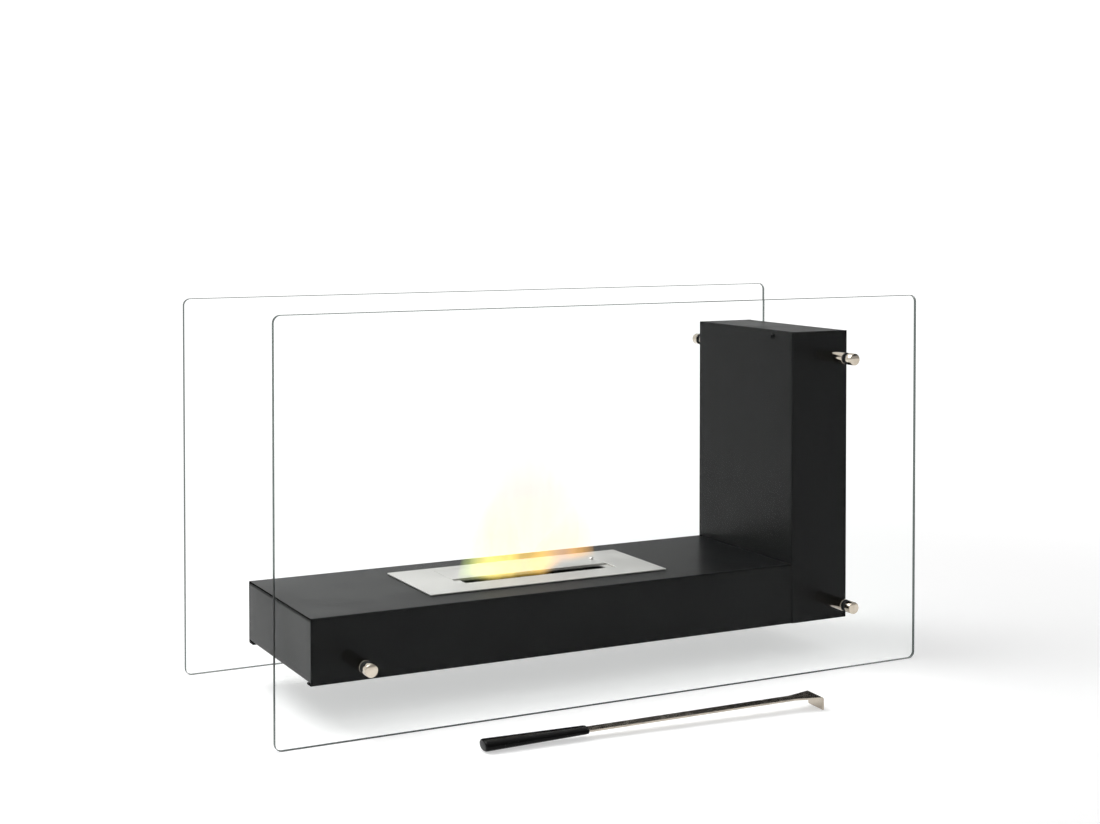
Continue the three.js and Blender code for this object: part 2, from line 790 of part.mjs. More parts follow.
// Domed stud riveted into the lid's right end, which the tool's blade pushes against.
function lidStud() {
  const head = LID_STUD_DIAMETER / 2;
  const profile = [
    [0, SEAT / 2 - FLANGE_SHEET],
    [LID_STUD_SHANK / 2, SEAT / 2 - FLANGE_SHEET],
    [LID_STUD_SHANK / 2, SEAT],
    [head, SEAT],
    ...arc(0, 0, 1, 0.15 * Math.PI, 0.5 * Math.PI, 4).map(({ x, y }) => [
      head * Math.max(x, 0),
      SEAT + LID_STUD_HEIGHT * y,
    ]),
  ];
  return turned(profile, HOLE_STEPS);
}

function burnerPieces() {
  const stud = piece("lid_stud", lidStud(), finishes.stainless);
  stud.rotation.x = Math.PI / 2;
  stud.position.set(lidStudX, lidStudY, flangeTop);
  return [
    piece("burner_flange", burnerFlange(), finishes.stainless),
    piece("burner_tray", burnerTray(), finishes.stainless),
    piece("burner_tank", burnerTank(), finishes.sootedSteel),
    piece("ceramic_block", ceramicBlock(), finishes.ceramic),
    piece("wick_grid", wickGrid(), finishes.sootedSteel),
    piece("slider_lid", sliderLid(), finishes.stainless),
    stud,
  ];
}

// ---------------------------------------------------------------------------------------------
// Tool. Its own origin is the middle of the handle's butt, with +X towards the blade.
// ---------------------------------------------------------------------------------------------

const tangStart = GRIP_LENGTH - TANG_LENGTH;

// Flat steel bar that widens at its end and is folded down into a blade: the folded side view,
// trimmed to the outline seen from above.
function toolBar() {
  const side = foldedSection(
    [
      [TOOL_LENGTH, BAR_THICKNESS / 2 - BLADE_HEIGHT],
      [TOOL_LENGTH, BAR_THICKNESS / 2],
      [tangStart, BAR_THICKNESS / 2],
    ],
    BAR_THICKNESS,
    BAR_FOLD,
  );
  const flareStart = TOOL_LENGTH - BAR_FOLD - FLARE_LENGTH;
  const upper = [
    [TOOL_LENGTH + BAR_FOLD, BLADE_WIDTH / 2],
    [TOOL_LENGTH - BAR_FOLD, BLADE_WIDTH / 2],
    [flareStart, BAR_WIDTH / 2],
    [tangStart, BAR_WIDTH / 2],
  ];
  const plan = [...upper, ...upper.map(([x, y]) => [x, -y]).reverse()];
  const outline = plan.map(([x, y]) => new THREE.Vector2(x, y));
  return common(
    alongY(side, -BLADE_WIDTH / 2, BLADE_WIDTH / 2),
    alongZ(outline, -2 * BLADE_HEIGHT, BLADE_HEIGHT),
  );
}

// Oval handle that tapers from butt to nose, both rounded, with a pocket for the tang. A round
// profile of radius 1 is turned, then drawn out to the oval's width and height along its length.
function toolHandle() {
  const butt = arc(0, 0, 1, Math.PI, Math.PI / 2, 4).map(({ x, y }) => [
    GRIP_BUTT_FLAT + (1 - GRIP_BUTT_FLAT) * y,
    GRIP_BUTT_ROUND * (1 + x),
  ]);
  const noseStart = GRIP_LENGTH - GRIP_NOSE_ROUND;
  const noseLip = 0.1; // share of the width that the rounding draws in
  const nose = arc(0, 0, 1, Math.PI / 2, 0, 3).map(({ x, y }) => [
    1 - noseLip * (1 - y),
    noseStart + GRIP_NOSE_ROUND * x,
  ]);
  const grip = turned([[0, 0], ...butt, ...nose, [0, GRIP_LENGTH]], GRIP_STEPS).rotateZ(-Math.PI / 2);
  const at = grip.attributes.position;
  for (let i = 0; i < at.count; i++) {
    const share = at.getX(i) / GRIP_LENGTH;
    const width = THREE.MathUtils.lerp(GRIP_BUTT_WIDTH, GRIP_NOSE_WIDTH, share);
    const height = THREE.MathUtils.lerp(GRIP_BUTT_HEIGHT, GRIP_NOSE_HEIGHT, share);
    at.setXYZ(i, at.getX(i), (at.getY(i) * width) / 2, (at.getZ(i) * height) / 2);
  }
  const pocket = new THREE.BoxGeometry(
    2 * TANG_LENGTH,
    BAR_WIDTH + 2 * TANG_PLAY,
    BAR_THICKNESS + 2 * TANG_PLAY,
  );
  return cut(grip, [pocket.translate(tangStart - TANG_PLAY + TANG_LENGTH, 0, 0)]);
}

// The tool as it lies on the floor, on its butt and on the lower edge of its blade.
function tool() {
  const tilted = groupAt(0, 0, 0, [
    piece("tool_bar", toolBar(), finishes.stainless),
    piece("tool_handle", toolHandle(), finishes.handlePlastic),
  ]);
  const rise = BLADE_HEIGHT - BAR_THICKNESS / 2 - GRIP_BUTT_HEIGHT / 2;
  tilted.rotation.y = -Math.asin(rise / (TOOL_LENGTH - GRIP_BUTT_ROUND));
  const lying = groupAt(TOOL_BUTT_X, TOOL_BUTT_Y, 0, [tilted]);
  lying.rotation.z = THREE.MathUtils.degToRad(TOOL_HEADING);
  lying.position.z = -new THREE.Box3().setFromObject(lying, true).min.z;
  return lying;
}

// ---------------------------------------------------------------------------------------------
// The whole fireplace
// ---------------------------------------------------------------------------------------------

const rearPane = pane("rear_pane");
rearPane.position.y = paneSpacing;

const body = groupAt(0, paneSpacing / 2, FLOOR_CLEARANCE, [
  ...hearthPieces(),
  ...columnPieces(),
  ...["front", "rear"].flatMap((side) => standoffPlaces.map((place) => standoff(side, place))),
  groupAt(0, 0, HEARTH_HEIGHT, burnerPieces()),
]);

const fireplace = groupAt(0, 0, 0, [pane("front_pane"), rearPane, body, tool()]);
fireplace.name = "bioethanol_fireplace";

export default fireplace;
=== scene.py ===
"""Free-standing bioethanol fireplace: black sheet-steel hearth and column between two glass panes.

Metres, +X along the hearth towards the column, +Y to the rear, +Z up, with the floor at z = 0.
"""

from math import asin, cos, pi, radians, sin

import bmesh
import bpy
import numpy as np
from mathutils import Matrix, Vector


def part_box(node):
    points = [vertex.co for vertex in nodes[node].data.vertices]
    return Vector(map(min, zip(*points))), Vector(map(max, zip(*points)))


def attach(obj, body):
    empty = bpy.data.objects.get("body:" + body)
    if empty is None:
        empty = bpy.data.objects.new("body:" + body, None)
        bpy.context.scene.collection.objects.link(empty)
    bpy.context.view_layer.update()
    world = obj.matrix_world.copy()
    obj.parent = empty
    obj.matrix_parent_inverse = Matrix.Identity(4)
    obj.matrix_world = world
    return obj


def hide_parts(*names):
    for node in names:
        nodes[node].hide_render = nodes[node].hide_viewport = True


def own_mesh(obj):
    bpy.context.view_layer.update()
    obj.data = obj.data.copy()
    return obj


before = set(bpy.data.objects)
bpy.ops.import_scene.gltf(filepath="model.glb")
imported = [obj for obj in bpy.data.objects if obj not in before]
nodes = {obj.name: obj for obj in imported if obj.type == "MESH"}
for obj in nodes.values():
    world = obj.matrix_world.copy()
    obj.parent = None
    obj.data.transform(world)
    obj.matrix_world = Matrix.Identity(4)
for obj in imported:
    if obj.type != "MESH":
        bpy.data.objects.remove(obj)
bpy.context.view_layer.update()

# ---------------------------------------------------------------------------------------------
# Studio: a seamless white floor and backdrop, one large soft box above and behind the left end,
# and even light from all sides. The camera stands in front to the left, a little above the top.
# ---------------------------------------------------------------------------------------------

CAMERA_PLACE = (-0.9621, -1.6910, 0.5538)
CAMERA_TILT = 1.5003  # degrees below the horizon
CAMERA_TURN = 27.2565  # degrees from +Y towards +X
CAMERA_LENS = 58.315
CAMERA_SHIFT = -0.1538

scene = bpy.context.scene
scene.view_settings.view_transform = "Standard"


def placed(name, data):
    """Puts an object with this data into the scene."""
    made = bpy.data.objects.new(name, data)
    scene.collection.objects.link(made)
    return made


def add(tree, kind, values=None, **settings):
    """Adds a shader node of a kind; a value that is a socket is linked, any other is set."""
    made = tree.nodes.new("ShaderNode" + kind)
    for name, value in settings.items():
        setattr(made, name, value)
    for name, value in (values or {}).items():
        if isinstance(value, bpy.types.NodeSocket):
            tree.links.new(value, made.inputs[name])
        else:
            made.inputs[name].default_value = value
    return made


def maths(tree, operation, *values, **settings):
    """Output of a Math node on these values."""
    return add(tree, "Math", dict(enumerate(values)), operation=operation, **settings).outputs[0]


def blended(tree, share, first, second):
    """Number between the first and the second, by a share from 0 to 1."""
    return add(tree, "Mix", {0: share, 2: first, 3: second}).outputs[0]


def stepped(tree, value, low, high, to_low=0.0, to_high=1.0):
    """Smooth step of the value from low to high, carried to another range."""
    ends = {"Value": value, "From Min": low, "From Max": high, "To Min": to_low, "To Max": to_high}
    return add(tree, "MapRange", ends, interpolation_type="SMOOTHSTEP").outputs["Result"]


def looked_at(tree, *kinds):
    """1 for rays of these kinds, such as the camera's own, and 0 for all others."""
    rays = add(tree, "LightPath").outputs
    share = rays[f"Is {kinds[0]} Ray"]
    for kind in kinds[1:]:
        share = maths(tree, "MAXIMUM", share, rays[f"Is {kind} Ray"])
    return share


camera = placed("camera", bpy.data.cameras.new("camera"))
camera.location = CAMERA_PLACE
camera.rotation_euler = (radians(90 - CAMERA_TILT), 0, radians(-CAMERA_TURN))
camera.data.lens = CAMERA_LENS
camera.data.shift_y = CAMERA_SHIFT
scene.camera = camera

# The room is white to the camera and through glass. A reflection finds it white to the rear, a
# soft grey to the front and a dark grey above the horizon at the right, and matt surfaces are lit
# by it from all sides.
BACKDROP = 1.15
FRONT_SHEEN = 0.5
REAR_SHEEN = 1.0
RIGHT_SHEEN = 0.1
FILL = 0.42

# Directions over which the sheen changes, each from and to one X, Y or Z of a unit vector.
FRONT_TO_REAR = (-0.7, 0.3)
LEFT_TO_RIGHT = (0.24, 0.54)
SHADE_FOOT = (0.1, 0.19)
SHADE_HEAD = (0.5, 0.3)

world = bpy.data.worlds.new("white_studio")
scene.world = world
world.use_nodes = True
studio = world.node_tree
studio.nodes.clear()
way = add(studio, "TexCoord").outputs["Generated"]
heading = add(studio, "SeparateXYZ", {"Vector": way}).outputs
sheen = stepped(studio, heading["Y"], *FRONT_TO_REAR, FRONT_SHEEN, REAR_SHEEN)
rightwards = stepped(studio, heading["X"], *LEFT_TO_RIGHT)
over_foot = stepped(studio, heading["Z"], *SHADE_FOOT)
under_head = stepped(studio, heading["Z"], *SHADE_HEAD)
band = maths(studio, "MULTIPLY", over_foot, under_head)
shade = maths(studio, "MULTIPLY", rightwards, band)
sheen = maths(studio, "MULTIPLY", sheen, blended(studio, shade, 1.0, RIGHT_SHEEN))
# A ray that was reflected on its way finds the sheen, also where it then passes a pane.
mirrored = maths(studio, "MINIMUM", add(studio, "LightPath").outputs["Glossy Depth"], 1.0)
lit = blended(studio, looked_at(studio, "Camera", "Transmission"), FILL, BACKDROP)
lit = blended(studio, mirrored, lit, sheen)
room = add(studio, "Background", {"Color": (1, 1, 1, 1), "Strength": lit}).outputs[0]
add(studio, "OutputWorld", {"Surface": room})

BOX_PLACE = (-0.9, 0.95, 2.0)
BOX_TURN = (-0.38, -0.42, 0)  # radians, towards the fireplace
BOX_SIZE = 1.6
BOX_POWER = 34

soft_box = placed("soft_box", bpy.data.lights.new("soft_box", "AREA"))
soft_box.data.size = BOX_SIZE
soft_box.data.energy = BOX_POWER
soft_box.location = BOX_PLACE
soft_box.rotation_euler = BOX_TURN

# White card. The camera sees it lifted to the room's white, wholly so further away, and close to
# the fireplace it keeps the soft shadows.
FLOOR_REACH = 8
FLOOR_DROP = 0.0002  # below the panes' lower edges
CARD_COLOUR = (0.82, 0.82, 0.82, 1)
CARD_SEEN_COLOUR = (0.62, 0.62, 0.62, 1)
CARD_LIFT = 0.51
FADE_START = 0.75
FADE_END = 1.9

card = bpy.data.meshes.new("floor")
square = [(-1, -1), (1, -1), (1, 1), (-1, 1)]
card.from_pydata([(x * FLOOR_REACH, y * FLOOR_REACH, -FLOOR_DROP) for x, y in square], [], [(0, 1, 2, 3)])
floor = placed("floor", card)
white_card = bpy.data.materials.new("white_card")
white_card.use_nodes = True
tree = white_card.node_tree
tree.nodes.clear()
spot = add(tree, "TexCoord").outputs["Object"]
away = add(tree, "VectorMath", {0: spot}, operation="LENGTH").outputs["Value"]
paper = add(tree, "BsdfDiffuse", {"Color": CARD_COLOUR}).outputs[0]
seen_paper = add(tree, "BsdfDiffuse", {"Color": CARD_SEEN_COLOUR}).outputs[0]
lift = add(tree, "Emission", {"Strength": CARD_LIFT}).outputs[0]
near = add(tree, "AddShader", {0: seen_paper, 1: lift}).outputs[0]
far = add(tree, "Emission", {"Strength": BACKDROP}).outputs[0]
shown = add(tree, "MixShader", {0: stepped(tree, away, FADE_START, FADE_END), 1: near, 2: far}).outputs[0]
seen = looked_at(tree, "Camera", "Transmission", "Glossy")
add(tree, "OutputMaterial", {"Surface": add(tree, "MixShader", {0: seen, 1: paper, 2: shown}).outputs[0]})
card.materials.append(white_card)

# ---------------------------------------------------------------------------------------------
# Glass panes: 5 mm clear toughened glass standing on edge, with ground edges that look dark
# grey-green. They carry the whole body through the standoffs. Their nodes have the real shape.
# ---------------------------------------------------------------------------------------------

GLASS_COLOUR = (0.985, 0.995, 0.99, 1)
GLASS_EDGE_COLOUR = (0.02, 0.026, 0.024, 1)
GLASS_SHADOW_COLOUR = (0.93, 0.94, 0.935, 1)
GLASS_IOR = 1.09  # under real glass, so that the panes stay as faint as in the photo
GLASS_EDGE_ROUGHNESS = 0.35
BROAD_FACE = 0.95  # least |Y| of the normal on a pane's broad faces


def material(name, values):
    """A new material with a Principled shader: its tree, its shader, and plain values set."""
    made = bpy.data.materials.new(name)
    made.use_nodes = True
    shader = made.node_tree.nodes["Principled BSDF"]
    for socket, value in values.items():
        shader.inputs[socket].default_value = value
    return made, made.node_tree, shader


def painted(piece, finish):
    """Gives a piece one material."""
    piece.data.materials.clear()
    piece.data.materials.append(finish)


def tinted(tree, share, first, second):
    """Colour between the first and the second, by a share from 0 to 1."""
    return add(tree, "Mix", {0: share, 6: first, 7: second}, data_type="RGBA").outputs[2]


glass, tree, shader = material("pane_glass", {"Transmission Weight": 1.0, "IOR": GLASS_IOR})
facing = add(tree, "NewGeometry").outputs["True Normal"]
sideways = maths(tree, "ABSOLUTE", add(tree, "SeparateXYZ", {"Vector": facing}).outputs["Y"])
ground = maths(tree, "LESS_THAN", sideways, BROAD_FACE)
tree.links.new(tinted(tree, ground, GLASS_COLOUR, GLASS_EDGE_COLOUR), shader.inputs["Base Color"])
tree.links.new(blended(tree, ground, 0.0, GLASS_EDGE_ROUGHNESS), shader.inputs["Roughness"])
clear = add(tree, "BsdfTransparent", {"Color": GLASS_SHADOW_COLOUR}).outputs[0]
shadow = add(tree, "LightPath").outputs["Is Shadow Ray"]
through = add(tree, "MixShader", {0: shadow, 1: shader.outputs[0], 2: clear}).outputs[0]
tree.links.new(through, tree.nodes["Material Output"].inputs["Surface"])
for pane in ("front_pane", "rear_pane"):
    painted(nodes[pane], glass)

# ---------------------------------------------------------------------------------------------
# Hearth: 2 mm steel sheet with a satin black powder coat. The cover is one sheet folded over the
# top, front and rear; a channel closes its left end, another its right, and a plate its bottom.
# ---------------------------------------------------------------------------------------------

SHEET = 0.002
FOLD_RADIUS = 0.0025
FOLD_STEPS = 8
RETURN = 0.014  # folded-in flange
BURNER_PLAY = 0.002  # round the burner in the cut-out
CUT_EDGE = 0.0003  # rounding of a sheet's cut edges
MILLIMETRE = 0.001

COAT_COLOUR = (0.0012, 0.0014, 0.0015, 1)
COAT_DUST_COLOUR = (0.003, 0.0033, 0.0033, 1)
COAT_SHEEN = 0.1
COAT_ROUGHNESS = (0.28, 0.34)  # clean and handled
COAT_GRAIN_ROUGHNESS = 0.04
CUT_EDGE_COLOUR = (0.0012, 0.0012, 0.0012, 1)
CUT_EDGE_SHEEN = 0.02
CUT_EDGE_ROUGHNESS = (0.6, 0.8)


def effect(name, inputs, outputs):
    """A node group: its inputs with their usual values, its outputs with their kinds of socket."""
    group = bpy.data.node_groups.new(name, "ShaderNodeTree")
    for label, value in inputs.items():
        socket = group.interface.new_socket(name=label, in_out="INPUT", socket_type="NodeSocketFloat")
        socket.default_value = value
    for label, kind in outputs.items():
        group.interface.new_socket(name=label, in_out="OUTPUT", socket_type="NodeSocket" + kind)
    return group, group.nodes.new("NodeGroupInput").outputs, group.nodes.new("NodeGroupOutput").inputs


def use(tree, group, **values):
    """Places an effect in a material with its own values, and gives its outputs."""
    made = tree.nodes.new("ShaderNodeGroup")
    made.node_tree = group
    for label, value in values.items():
        made.inputs[label].default_value = value
    return made.outputs


# Grain of a coat, plating, rubber or ceramic: round bumps of one size on Object coordinates.
grain, given, gives = effect("grain", {"Size": 1.0, "Depth": 1.0}, {"Share": "Float", "Normal": "Vector"})
spot = add(grain, "TexCoord").outputs["Object"]
fineness = maths(grain, "DIVIDE", 1 / MILLIMETRE, given["Size"])
bumps = add(grain, "TexNoise", {"Vector": spot, "Scale": fineness, "Detail": 2.0, "Roughness": 0.55})
depth = maths(grain, "MULTIPLY", given["Depth"], MILLIMETRE)
raised = add(grain, "Bump", {"Height": bumps.outputs[0], "Distance": depth, "Strength": 1.0})
grain.links.new(bumps.outputs[0], gives["Share"])
grain.links.new(raised.outputs[0], gives["Normal"])

# Handling: broad, soft patches where a surface was wiped or touched, from 0 to 1.
handling, given, gives = effect("handling", {"Size": 60.0}, {"Share": "Float"})
spot = add(handling, "TexCoord").outputs["Object"]
breadth = maths(handling, "DIVIDE", 1 / MILLIMETRE, given["Size"])
patches = add(handling, "TexNoise", {"Vector": spot, "Scale": breadth, "Detail": 3.0})
patches.inputs["Distortion"].default_value = 0.6
handling.links.new(stepped(handling, patches.outputs[0], 0.35, 0.7), gives["Share"])

black_coat, tree, shader = material("satin_black_coat", {"Specular IOR Level": COAT_SHEEN})
touched = use(tree, handling, Size=110)["Share"]
peel = use(tree, grain, Size=1.1, Depth=0.01)
tree.links.new(tinted(tree, touched, COAT_COLOUR, COAT_DUST_COLOUR), shader.inputs["Base Color"])
rough = blended(tree, touched, *COAT_ROUGHNESS)
rough = maths(tree, "ADD", rough, maths(tree, "MULTIPLY", peel["Share"], COAT_GRAIN_ROUGHNESS))
tree.links.new(rough, shader.inputs["Roughness"])
tree.links.new(peel["Normal"], shader.inputs["Normal"])

# Laser-cut edges of the sheet, where the coat lies thin and matt.
cut_edge, tree, shader = material("matt_cut_edge", {"Specular IOR Level": CUT_EDGE_SHEEN})
burr = use(tree, grain, Size=0.5, Depth=0.03)
tree.links.new(tinted(tree, burr["Share"], CUT_EDGE_COLOUR, COAT_COLOUR), shader.inputs["Base Color"])
tree.links.new(blended(tree, burr["Share"], *CUT_EDGE_ROUGHNESS), shader.inputs["Roughness"])
tree.links.new(burr["Normal"], shader.inputs["Normal"])


def grid_faces(rows, columns, rows_close=False, columns_close=False):
    """Corner numbers of a grid's quads: (i, j), (i+1, j), (i+1, j+1), (i, j+1)."""
    i = np.arange(rows if rows_close else rows - 1)[:, None]
    j = np.arange(columns if columns_close else columns - 1)[None, :]
    down, right = (i + 1) % rows, (j + 1) % columns
    ring = [i * columns + j, down * columns + j, down * columns + right, i * columns + right]
    return np.stack(ring, -1).reshape(-1, 4)


def sealed(mesh):
    """Merges the doubles at a mesh's seams and poles, and turns its faces outwards."""
    shape = bmesh.new()
    shape.from_mesh(mesh)
    bmesh.ops.remove_doubles(shape, verts=shape.verts, dist=1e-6)
    bmesh.ops.dissolve_degenerate(shape, edges=shape.edges, dist=1e-7)
    bmesh.ops.recalc_face_normals(shape, faces=shape.faces)
    shape.to_mesh(mesh)
    shape.free()


def piece_from(name, points, faces, closed=True):
    """Mesh object from a grid of points, sealed where it is a closed one."""
    mesh = bpy.data.meshes.new(name)
    mesh.from_pydata(points.reshape(-1, 3).tolist(), [], faces.tolist())
    if closed:
        sealed(mesh)
    mesh.shade_smooth()
    return placed(name, mesh)


def rounded_edges(piece, width, angle=50):
    """Rounds the edges sharper than the angle, and keeps the flats flat in the shading."""
    if width:
        bevel = piece.modifiers.new("rounded_edges", "BEVEL")
        bevel.width = width
        bevel.segments = 3
        bevel.limit_method = "ANGLE"
        bevel.angle_limit = radians(angle)
        bevel.use_clamp_overlap = False
    flats = piece.modifiers.new("flat_faces", "WEIGHTED_NORMAL")
    flats.weight = 100
    flats.keep_sharp = True
    return piece


def fold_path(points, radius):
    """Outer face of a folded sheet, seen along the folds: straight runs between the points, and
    at each right-angled corner the arc  centre - radius (b cos t + a sin t),  t from 0 to 90
    degrees, where a and b point from the corner to its neighbours and centre = corner + r(a+b)."""
    points = np.array(points, float)
    t = np.linspace(0, pi / 2, FOLD_STEPS + 1)[:, None]
    runs = [points[:1]]
    for before, corner, after in zip(points, points[1:], points[2:]):
        a = (before - corner) / np.linalg.norm(before - corner)
        b = (after - corner) / np.linalg.norm(after - corner)
        if abs(a @ b) > 0.5:
            runs.append(corner[None])
        else:
            runs.append(corner + radius * (a + b) - radius * (b * np.cos(t) + a * np.sin(t)))
    return np.vstack([*runs, points[-1:]])


def walled(piece, thickness, rim=0):
    """Gives a sheet its wall behind the drawn face. The rim takes the material that many slots on."""
    wall = piece.modifiers.new("sheet", "SOLIDIFY")
    wall.thickness = thickness
    wall.offset = -1
    wall.use_even_offset = True
    wall.material_offset_rim = rim


def sheet_between(name, path, stations, axes, body, node, cut_out=None):
    """A folded sheet: point (i, j) lies at path[i] in the plane of axes[0] and axes[1], and at
    stations[j] along axes[2]. Quads inside the cut-out are left open. It then gets its wall."""
    points = np.empty((len(path), len(stations), 3))
    points[..., axes[0]] = path[:, None, 0]
    points[..., axes[1]] = path[:, None, 1]
    points[..., axes[2]] = np.array(stations)[None]
    faces = grid_faces(*points.shape[:2])
    if cut_out is not None:
        middle = points.reshape(-1, 3)[faces].mean(1)
        faces = faces[~((middle > cut_out[0]) & (middle < cut_out[1])).all(1)]
    piece = piece_from(name, points, faces, closed=False)
    walled(piece, SHEET, rim=1)
    painted(rounded_edges(piece, CUT_EDGE), black_coat)
    piece.data.materials.append(cut_edge)
    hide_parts(node)
    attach(piece, body)


X, Y, Z = range(3)
low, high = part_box("hearth_cover")
tray_low, tray_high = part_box("burner_tray")
cut_low = np.array(tray_low) - BURNER_PLAY
cut_high = np.array(tray_high) + BURNER_PLAY
cover_path = fold_path(
    [
        (high.y - RETURN, low.z),
        (high.y, low.z),
        (high.y, high.z),
        (cut_high[Y], high.z),
        (cut_low[Y], high.z),
        (low.y, high.z),
        (low.y, low.z),
        (low.y + RETURN, low.z),
    ],
    FOLD_RADIUS,
)
cover_stations = [low.x, cut_low[X], cut_high[X], high.x]
cut_out = (np.array([cut_low[X], cut_low[Y], high.z - SHEET]), np.array([cut_high[X], cut_high[Y], 1]))
sheet_between(
    "hearth_cover_sheet", cover_path, cover_stations, (Y, Z, X), "fireplace_frame", "hearth_cover", cut_out
)

low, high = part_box("hearth_end_plate")
end_path = fold_path([(high.x, high.z), (low.x, high.z), (low.x, low.z), (high.x, low.z)], FOLD_RADIUS)
sheet_between("hearth_end_sheet", end_path, [high.y, low.y], (X, Z, Y), "fireplace_frame", "hearth_end_plate")

for plain in ("hearth_base", "hearth_bulkhead"):
    painted(nodes[plain], black_coat)

# ---------------------------------------------------------------------------------------------
# Column: the shell is one black sheet folded round front, inner side and rear. The cover, folded
# over top, outer side and bottom, slides in from the right and is held by one screw at its top.
# ---------------------------------------------------------------------------------------------

low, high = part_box("column_shell")
shell_path = fold_path([(high.x, high.y), (low.x, high.y), (low.x, low.y), (high.x, low.y)], FOLD_RADIUS)
sheet_between("column_shell_sheet", shell_path, [low.z, high.z], (X, Y, Z), "fireplace_frame", "column_shell")

low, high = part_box("column_cover")
lid_path = fold_path(
    [(low.x, low.z), (high.x, low.z), (high.x, high.z), (low.x, high.z), (low.x, high.z - RETURN)],
    FOLD_RADIUS,
)
sheet_between("column_cover_sheet", lid_path, [high.y, low.y], (X, Z, Y), "fireplace_frame", "column_cover")

ZINC_COLOUR = (0.62, 0.64, 0.66, 1)
ZINC_DULL_COLOUR = (0.42, 0.43, 0.44, 1)
ZINC_ROUGHNESS = (0.28, 0.5)

zinc, tree, shader = material("zinc_plate", {"Metallic": 1.0})
dulled = use(tree, handling, Size=3)["Share"]
tree.links.new(tinted(tree, dulled, ZINC_COLOUR, ZINC_DULL_COLOUR), shader.inputs["Base Color"])
tree.links.new(blended(tree, dulled, *ZINC_ROUGHNESS), shader.inputs["Roughness"])
tree.links.new(use(tree, grain, Size=0.4, Depth=0.01)["Normal"], shader.inputs["Normal"])
for rivet in range(1, 5):
    painted(nodes[f"joining_rivet_{rivet}"], zinc)

TURNED_STEPS = 64
TURNED_SHARP = 30  # degrees from which an edge of a turned piece is sharp


def turned(name, profile, start, along, body, node, finish, slot):
    """Surface of revolution: point (i, j) = start + h[i] along + r[i] (p cos a[j] + q sin a[j]),
    for a profile of (r, h) pairs in millimetres and p, q square to the direction along."""
    radius, height = np.array(profile, float).T[..., None, None] * MILLIMETRE
    along = np.array(along, float)
    p = np.roll(np.abs(along), 1)
    q = np.cross(along, p)
    angle = np.linspace(0, 2 * pi, TURNED_STEPS, endpoint=False)[None, :, None]
    points = np.array(start) + height * along + radius * (p * np.cos(angle) + q * np.sin(angle))
    piece = piece_from(name, points, grid_faces(*points.shape[:2], columns_close=True))
    piece.data.set_sharp_from_angle(angle=radians(TURNED_SHARP))
    painted(piece, finish)
    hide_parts(node)
    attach(piece, body)
    return piece


# Low-domed screw with a round socket, head towards the hearth.
SCREW_HEAD = 7.0
SCREW_HEIGHT = 1.8
SCREW_SOCKET = 2.6
SCREW_SOCKET_DEPTH = 1.1
SCREW_SOCKET_LIP = 0.1
SCREW_RIM = 0.3  # straight side under the dome
SCREW_SHANK = 4.0

low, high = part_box("column_cover_screw")
socket_floor = SCREW_HEIGHT - SCREW_SOCKET_DEPTH
shank_end = SCREW_HEIGHT - (high.x - low.x) / MILLIMETRE
dome_breadth = (SCREW_HEAD - SCREW_SOCKET) / 2
dome_height = SCREW_HEIGHT - SCREW_RIM
dome = np.linspace(0, pi / 2, 9)
screw_profile = [
    (0, socket_floor),
    (SCREW_SOCKET / 2, socket_floor),
    (SCREW_SOCKET / 2, SCREW_HEIGHT - SCREW_SOCKET_LIP),
    *[(SCREW_SOCKET / 2 + dome_breadth * sin(t), SCREW_RIM + dome_height * cos(t)) for t in dome],
    (SCREW_HEAD / 2, 0),
    (SCREW_SHANK / 2, 0),
    (SCREW_SHANK / 2, shank_end),
    (0, shank_end),
]
head_face = (low.x + SCREW_HEIGHT * MILLIMETRE, (low.y + high.y) / 2, (low.z + high.z) / 2)
cover_screw = ("cover_screw", screw_profile, head_face, (-1, 0, 0))
turned(*cover_screw, "fireplace_frame", "column_cover_screw", black_coat, "black_steel")

# ---------------------------------------------------------------------------------------------
# Standoffs: turned brass, nickel plated and polished, with a slightly warm tone. A barrel spaces
# the body from the glass, and a cap's stud goes through pane and rubber rings into the barrel.
# ---------------------------------------------------------------------------------------------

BORE_DEPTH = 15.0
BORE_RADIUS = 3.3
STUD_RADIUS = 3.0
CAP_LENGTH = 9.5
CAP_EDGE = 0.7
BARREL_EDGE = 0.4
RING_EDGE = 0.15

NICKEL_COLOUR = (0.57, 0.51, 0.43, 1)
NICKEL_WORN_COLOUR = (0.5, 0.44, 0.36, 1)
NICKEL_ROUGHNESS = (0.03, 0.09)
RUBBER_COLOUR = (0.012, 0.012, 0.012, 1)
RUBBER_BLOOM_COLOUR = (0.03, 0.03, 0.029, 1)
RUBBER_ROUGHNESS = (0.6, 0.8)

nickel, tree, shader = material("polished_nickel", {"Metallic": 1.0})
rubbed = use(tree, handling, Size=9)["Share"]
tree.links.new(tinted(tree, rubbed, NICKEL_COLOUR, NICKEL_WORN_COLOUR), shader.inputs["Base Color"])
tree.links.new(blended(tree, rubbed, *NICKEL_ROUGHNESS), shader.inputs["Roughness"])
tree.links.new(use(tree, grain, Size=2.5, Depth=0.0015)["Normal"], shader.inputs["Normal"])

rubber, tree, shader = material("black_rubber", {})
bloom = use(tree, handling, Size=4)["Share"]
tree.links.new(tinted(tree, bloom, RUBBER_COLOUR, RUBBER_BLOOM_COLOUR), shader.inputs["Base Color"])
tree.links.new(blended(tree, bloom, *RUBBER_ROUGHNESS), shader.inputs["Roughness"])
tree.links.new(use(tree, grain, Size=0.3, Depth=0.02)["Normal"], shader.inputs["Normal"])


